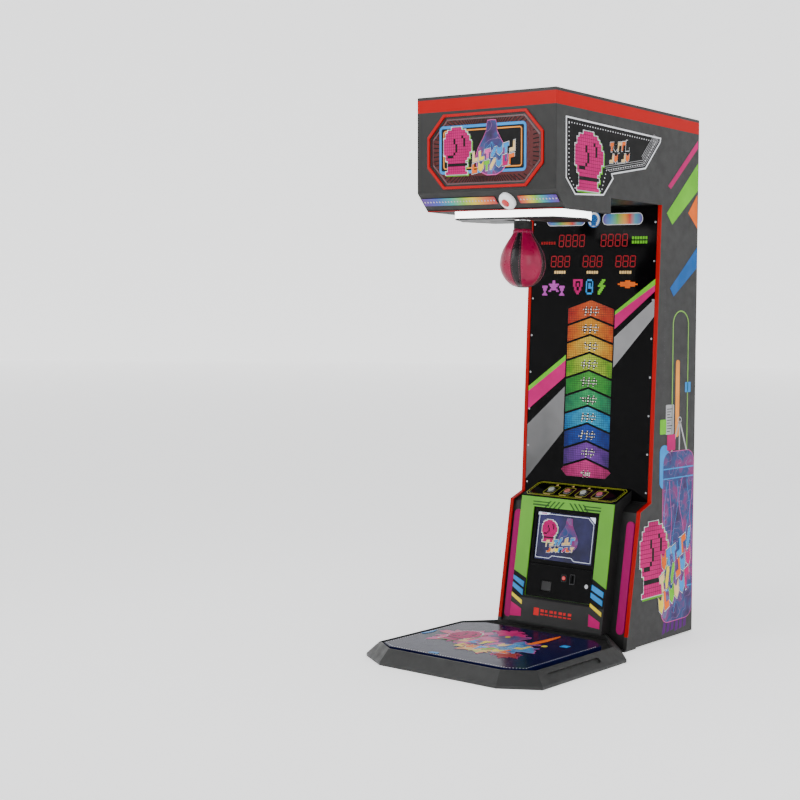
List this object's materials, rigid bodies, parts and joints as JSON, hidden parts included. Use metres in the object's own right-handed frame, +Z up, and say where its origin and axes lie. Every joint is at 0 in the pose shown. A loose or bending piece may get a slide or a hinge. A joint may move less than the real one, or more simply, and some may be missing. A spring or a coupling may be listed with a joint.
{
  "type": "boxing punch machine",
  "caption": "Coin-operated boxing punch machine: tall cabinet with overhanging lit head, hanging pear-shaped punching bag, lit score column, control console and standing platform.",
  "frame": {"origin": "on the floor, at the middle of the bounding box footprint", "axes": "+Z up, -Y to the front where the player stands, +X to the right seen from the front"},
  "size_m": [0.926, 1.22, 2.25],
  "materials": {
    "black_laminate": "dark laminated panel",
    "black_metal": "satin black powder coat",
    "steel_sheet": "grey sheet steel",
    "zinc_steel": "plated steel",
    "black_plastic": "satin black",
    "white_plastic": "white moulded",
    "black_acrylic": "gloss black sheet",
    "printed_acrylic": "back printed sheet",
    "dark_display": "display glass",
    "red_light": "lit red diffuser",
    "red_lens": "red lens",
    "magenta_light": "lit magenta diffuser",
    "white_light": "lit white diffuser",
    "rainbow_light": "lit coloured diffuser",
    "magenta_leather": "glossy leather",
    "rubber_black": "black",
    "green_panel": "printed green",
    "blue_board": "printed board with a gloss film"
  },
  "bodies": {
    "cabinet": {"back_panel": "black_laminate", "bag_light_band": "white_light", "bag_plate": "black_metal", "beacon_lens": "red_lens", "beacon_ring": "white_plastic", "button_bezels": "black_plastic", "cash_box": "steel_sheet", "chamfer_lights": "rainbow_light", "chamfer_panel": "black_metal", "column_front_panel": "black_acrylic", "console_body": "black_metal", "console_front_frame": "green_panel", "console_top_panel": "black_acrylic", "cooling_fan": "black_plastic", "digit_displays": "dark_display", "edge_lights": "red_light", "floor_pan": "steel_sheet", "head_front_panel": "black_metal", "head_underside": "black_metal", "header_light_band": "red_light", "latch_solenoid": "zinc_steel", "levelling_feet": "zinc_steel", "lower_front_panel": "black_metal", "magenta_lights": "magenta_light", "marquee_lens": "printed_acrylic", "marquee_light_box": "white_plastic", "marquee_neon_frame": "red_light", "panel_screws": "zinc_steel", "pivot_bracket": "steel_sheet", "platform_board": "blue_board", "platform_frame": "black_plastic", "power_inlet": "black_plastic", "power_supply": "steel_sheet", "score_tiles": "rainbow_light", "screen_bezel": "black_plastic", "screen_unit": "dark_display", "side_panel_left": "black_laminate", "side_panel_right": "black_laminate", "swing_sensor": "black_plastic", "top_cap": "black_plastic"},
    "swing_arm": {"pivot_shaft": "zinc_steel", "bag_arm": "zinc_steel", "bag_collar": "rubber_black", "punching_bag": "magenta_leather"},
    "latch_hook": {"latch_hook": "zinc_steel"},
    "coin_door": {"coin_door": "black_metal", "coin_mech": "black_plastic"},
    "coin_door_lock": {"coin_door_lock": "zinc_steel"},
    "coin_reject_button": {"coin_reject_button": "red_lens"},
    "coin_return_flap": {"coin_return_flap": "black_plastic"},
    "service_door": {"service_door": "black_laminate"},
    "service_door_lock": {"service_door_lock": "zinc_steel"},
    "transport_wheel_left": {"transport_wheel_left": "rubber_black"},
    "transport_wheel_right": {"transport_wheel_right": "rubber_black"},
    "fan_rotor": {"fan_rotor": "black_plastic"},
    "rocker_switch": {"rocker_switch": "red_lens"},
    "button_1": {"button_1": "white_plastic"},
    "button_2": {"button_2": "white_plastic"},
    "button_3": {"button_3": "white_plastic"},
    "button_4": {"button_4": "white_plastic"}
  },
  "joints": [
    {"name": "bag_swing", "type": "hinge", "parent": "cabinet", "child": "swing_arm", "pos_m": [0, -0.122, 1.9], "axis": [1, 0, 0], "range_deg": [-5, 88]},
    {"name": "latch_turn", "type": "hinge", "parent": "cabinet", "child": "latch_hook", "pos_m": [0, -0.078, 1.95], "axis": [1, 0, 0], "range_deg": [0, 20], "stiffness_Nm_per_rad": 0.3},
    {"name": "button_1_press", "type": "slide", "parent": "cabinet", "child": "button_1", "axis": [0, 0.3814, -0.9244], "range_m": [0, 0.004], "stiffness_N_per_m": 300},
    {"name": "button_2_press", "type": "slide", "parent": "cabinet", "child": "button_2", "axis": [0, 0.3814, -0.9244], "range_m": [0, 0.004], "stiffness_N_per_m": 300},
    {"name": "button_3_press", "type": "slide", "parent": "cabinet", "child": "button_3", "axis": [0, 0.3814, -0.9244], "range_m": [0, 0.004], "stiffness_N_per_m": 300},
    {"name": "button_4_press", "type": "slide", "parent": "cabinet", "child": "button_4", "axis": [0, 0.3814, -0.9244], "range_m": [0, 0.004], "stiffness_N_per_m": 300},
    {"name": "coin_door_swing", "type": "hinge", "parent": "cabinet", "child": "coin_door", "pos_m": [-0.174, 0.1243, 0.25227], "axis": [0, -0.1515, -0.9885], "range_deg": [0, 95]},
    {"name": "coin_lock_turn", "type": "hinge", "parent": "coin_door", "child": "coin_door_lock", "pos_m": [0.148, 0.12035, 0.25288], "axis": [0, 0.9885, -0.1515], "range_deg": [0, 90]},
    {"name": "reject_press", "type": "slide", "parent": "coin_door", "child": "coin_reject_button", "axis": [0, 0.9885, -0.1515], "range_m": [0, 0.004], "stiffness_N_per_m": 300},
    {"name": "return_flap_swing", "type": "hinge", "parent": "coin_door", "child": "coin_return_flap", "pos_m": [-0.07, 0.12385, 0.24931], "axis": [1, 0, 0], "range_deg": [0, 45], "stiffness_Nm_per_rad": 0.02, "springref_deg": -17.19},
    {"name": "service_door_swing", "type": "hinge", "parent": "cabinet", "child": "service_door", "pos_m": [-0.221, 0.604, 0.68], "axis": [0, 0, 1], "range_deg": [0, 110]},
    {"name": "service_lock_turn", "type": "hinge", "parent": "service_door", "child": "service_door_lock", "pos_m": [0.192, 0.598, 0.68], "axis": [0, 1, 0], "range_deg": [0, 90]},
    {"name": "wheel_left_roll", "type": "hinge", "parent": "cabinet", "child": "transport_wheel_left", "pos_m": [-0.279, 0.532, 0.038], "axis": [1, 0, 0], "continuous": true},
    {"name": "wheel_right_roll", "type": "hinge", "parent": "cabinet", "child": "transport_wheel_right", "pos_m": [0.279, 0.532, 0.038], "axis": [1, 0, 0], "continuous": true},
    {"name": "fan_spin", "type": "hinge", "parent": "cabinet", "child": "fan_rotor", "pos_m": [-0.15, 0.573, 1.27], "axis": [0, 1, 0], "continuous": true},
    {"name": "rocker_tip", "type": "hinge", "parent": "cabinet", "child": "rocker_switch", "pos_m": [0.15, 0.599, 0.182], "axis": [1, 0, 0], "range_deg": [-8, 8]}
  ]
}
